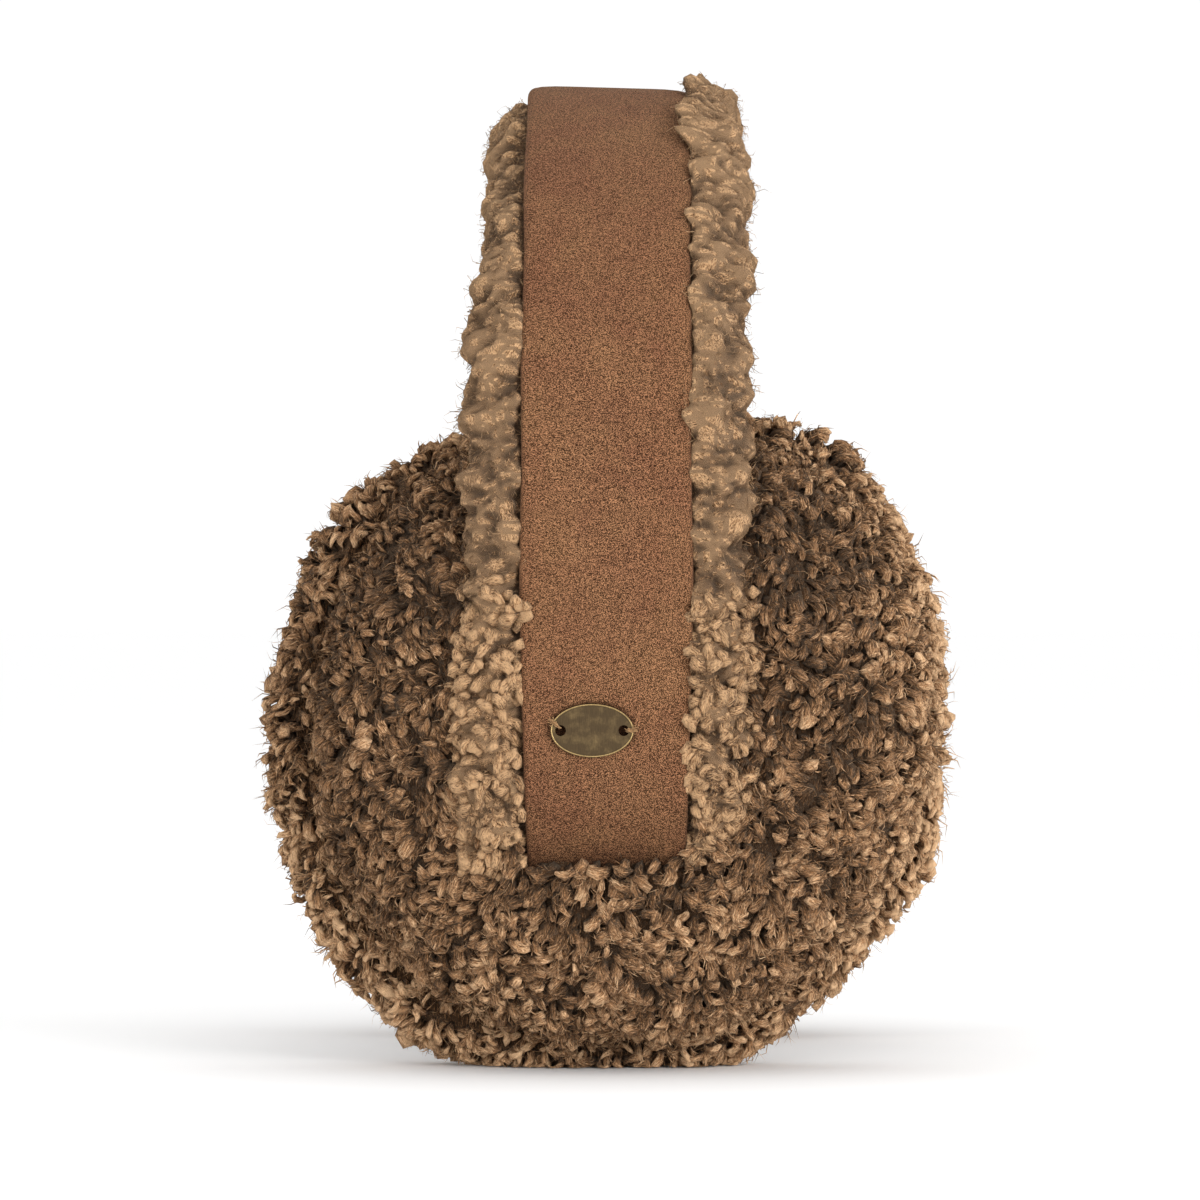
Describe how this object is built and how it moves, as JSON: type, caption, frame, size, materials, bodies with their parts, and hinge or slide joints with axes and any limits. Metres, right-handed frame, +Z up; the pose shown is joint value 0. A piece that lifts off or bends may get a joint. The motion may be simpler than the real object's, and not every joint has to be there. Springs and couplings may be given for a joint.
{
  "type": "fur earmuffs",
  "caption": "Wool earmuffs: a suede headband lined with fleece that rolls out along both edges, deep-pile round ear pads and a small oval metal plate.",
  "frame": {"origin": "middle of the resting surface under the two pads", "axes": "+X across the band, +Y from the left pad with the plate to the right pad, +Z up to the crown of the band"},
  "size_m": [0.1338, 0.1825, 0.1989],
  "materials": {
    "suede": "matte brown suede with a fine nap",
    "band_fleece": "light brown clipped sheep's wool",
    "pad_fleece": "tightly curled brown sheep's wool, lighter at the tips",
    "plate_metal": "antiqued brass with a worn bright rim"
  },
  "bodies": {
    "root": {"headband_leather": "suede", "headband_fleece": "band_fleece", "left_pad_outer": "pad_fleece", "left_pad_inner": "pad_fleece", "right_pad_outer": "pad_fleece", "right_pad_inner": "pad_fleece", "oval_plate": "plate_metal"}
  },
  "joints": []
}
